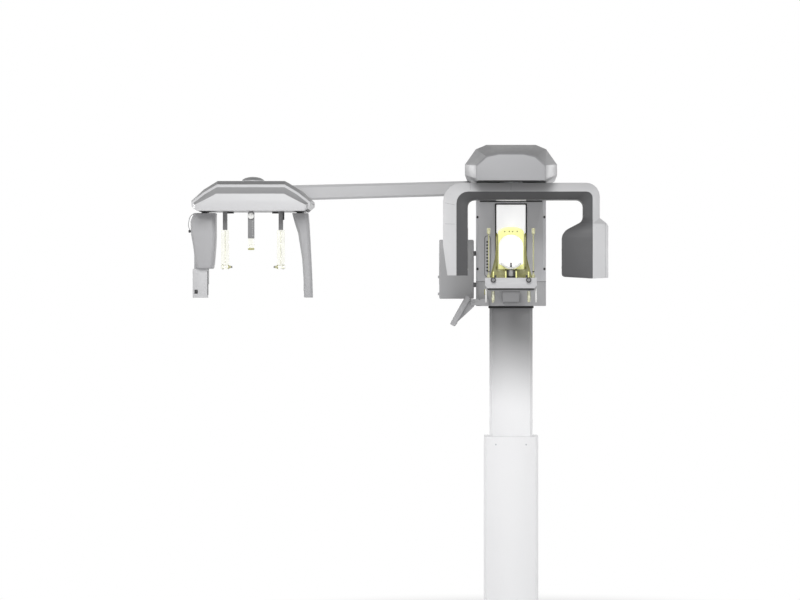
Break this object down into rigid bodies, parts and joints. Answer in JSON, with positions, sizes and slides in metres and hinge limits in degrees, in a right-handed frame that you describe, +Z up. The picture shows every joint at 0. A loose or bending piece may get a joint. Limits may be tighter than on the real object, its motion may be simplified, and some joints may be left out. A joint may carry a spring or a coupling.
{
  "type": "dental cone beam ct scanner",
  "caption": "Dental cone beam CT scanner with a telescopic column on a U-shaped base, lifting carriage, rotating gantry, chin rest with head support, touch panel and cephalometric arm.",
  "frame": {"origin": "on the floor, below the middle of the column, on the base plate's underside", "axes": "+Z up, -Y towards the patient and the gantry, +X to the right seen from the front, so the cephalometric arm runs towards -X"},
  "size_m": [1.883, 1.15, 2.25],
  "materials": {
    "shell_light": "light grey satin moulding",
    "shell_grey": "mid grey satin moulding",
    "shell_dark": "dark grey fine texture",
    "column_paint": "light grey powder coat",
    "steel": "machined",
    "aluminium": "bead blasted",
    "black": "black satin",
    "mirror": "silvered glass",
    "amber": "clear yellow-green polycarbonate",
    "white": "white moulding",
    "screen": "black glass",
    "rubber": "matt black"
  },
  "bodies": {
    "base": {"base_plate": "column_paint", "lower_column": "column_paint", "upper_glide_ring": "white", "lift_actuator": "aluminium", "mains_inlet": "black"},
    "power_switch": {"mains_switch": "rubber"},
    "carriage": {"upper_column": "column_paint", "lift_rod": "steel", "carriage_back_cover": "shell_grey", "carriage_front_cover": "shell_grey", "carriage_lower_cover": "shell_grey", "mirror": "mirror", "mirror_frame": "shell_dark", "speaker_panel": "shell_dark", "side_box": "shell_grey", "head_cover": "shell_grey", "head_under_cover": "shell_dark", "head_arm": "steel", "slewing_ring": "steel", "rotation_motor": "black", "drive_belt": "rubber", "chin_arm": "shell_grey", "chin_table": "shell_light", "head_band": "amber", "hand_grip_left": "shell_light", "hand_grip_right": "shell_light", "touch_panel_bracket": "shell_grey", "ceph_beam": "shell_light", "ceph_housing": "shell_light", "ceph_under_plate": "shell_grey", "ceph_chassis": "aluminium"},
    "gantry": {"gantry_hub": "steel", "gantry_frame": "aluminium", "gantry_outer_cover": "shell_light", "gantry_inner_cover": "shell_dark", "flat_panel_detector": "black", "x_ray_tube_head": "aluminium", "collimator": "steel"},
    "drive_pulley": {"motor_pulley": "aluminium"},
    "chin_rest": {"chin_post": "black", "chin_cup": "white"},
    "temple_left": {"temple_rod_left": "amber"},
    "temple_right": {"temple_rod_right": "amber"},
    "knob_left": {"temple_knob_left": "shell_grey"},
    "knob_right": {"temple_knob_right": "shell_grey"},
    "touch_panel": {"touch_panel_housing": "shell_grey", "touch_screen": "screen"},
    "ear_turntable": {"ceph_turntable": "shell_grey"},
    "ear_left": {"ear_hanger_left": "shell_dark", "ear_rod_left": "amber"},
    "ear_right": {"ear_hanger_right": "shell_dark", "ear_rod_right": "amber"},
    "nasion": {"nasion_bar": "shell_dark", "nasion_tip": "amber"},
    "nasion_lock": {"nasion_knob": "white"},
    "sensor_carrier": {"sensor_leg": "shell_light", "sensor_cassette": "shell_grey"},
    "collimator_carrier": {"collimator_leg": "shell_light"}
  },
  "joints": [
    {"name": "mains_switch_rock", "type": "hinge", "parent": "base", "child": "power_switch", "pos_m": [0.03, 0.1195, 0.125], "axis": [1, 0, 0], "range_deg": [-10, 0]},
    {"name": "column_lift", "type": "slide", "parent": "base", "child": "carriage", "axis": [0, 0, 1], "range_m": [-0.58, 0.05]},
    {"name": "gantry_rotation", "type": "hinge", "parent": "carriage", "child": "gantry", "pos_m": [0, -0.61, 2.06], "axis": [0, 0, 1], "range_deg": [-180, 180]},
    {"name": "motor_pulley_spin", "type": "hinge", "parent": "carriage", "child": "drive_pulley", "pos_m": [0, -0.395, 2.1], "axis": [0, 0, 1], "range_deg": [-805, 805]},
    {"name": "chin_rest_height", "type": "slide", "parent": "carriage", "child": "chin_rest", "axis": [0, 0, 1], "range_m": [0, 0.018]},
    {"name": "temple_slide_left", "type": "slide", "parent": "carriage", "child": "temple_left", "axis": [1, 0, 0], "range_m": [0, 0.03]},
    {"name": "temple_slide_right", "type": "slide", "parent": "carriage", "child": "temple_right", "axis": [-1, 0, 0], "range_m": [0, 0.03]},
    {"name": "temple_knob_left_turn", "type": "hinge", "parent": "carriage", "child": "knob_left", "pos_m": [-0.0785, -0.64, 1.6488], "axis": [0, 1, 0], "range_deg": [0, 90]},
    {"name": "temple_knob_right_turn", "type": "hinge", "parent": "carriage", "child": "knob_right", "pos_m": [0.0785, -0.64, 1.6488], "axis": [0, 1, 0], "range_deg": [0, 90]},
    {"name": "touch_panel_tilt", "type": "hinge", "parent": "carriage", "child": "touch_panel", "pos_m": [-0.17, -0.27, 1.552], "axis": [0, 1, 0], "range_deg": [-15, 25]},
    {"name": "ear_turntable_turn", "type": "hinge", "parent": "carriage", "child": "ear_turntable", "pos_m": [-1.148, -0.61, 1.953], "axis": [0, 0, 1], "range_deg": [0, 90]},
    {"name": "ear_slide_left", "type": "slide", "parent": "ear_turntable", "child": "ear_left", "axis": [1, 0, 0], "range_m": [-0.012, 0.03]},
    {"name": "ear_slide_right", "type": "slide", "parent": "ear_turntable", "child": "ear_right", "axis": [-1, 0, 0], "range_m": [-0.012, 0.03]},
    {"name": "nasion_height", "type": "slide", "parent": "ear_turntable", "child": "nasion", "axis": [0, 0, 1], "range_m": [-0.03, 0.005]},
    {"name": "nasion_knob_turn", "type": "hinge", "parent": "nasion", "child": "nasion_lock", "pos_m": [-1.148, -0.7145, 1.932], "axis": [0, 1, 0], "range_deg": [-90, 90]},
    {"name": "sensor_scan", "type": "slide", "parent": "carriage", "child": "sensor_carrier", "axis": [0, 1, 0], "range_m": [-0.085, 0.085]},
    {"name": "collimator_scan", "type": "slide", "parent": "carriage", "child": "collimator_carrier", "axis": [0, 1, 0], "range_m": [-0.085, 0.085]}
  ],
  "couplings": [
    {"joint": "motor_pulley_spin", "follows": "gantry_rotation", "ratio": 4.4444},
    {"joint": "temple_slide_right", "follows": "temple_slide_left", "ratio": 1},
    {"joint": "temple_knob_left_turn", "follows": "temple_slide_left", "rad_per_m": 52},
    {"joint": "temple_knob_right_turn", "follows": "temple_slide_left", "rad_per_m": 52},
    {"joint": "ear_slide_right", "follows": "ear_slide_left", "ratio": 1},
    {"joint": "collimator_scan", "follows": "sensor_scan", "ratio": 1}
  ]
}
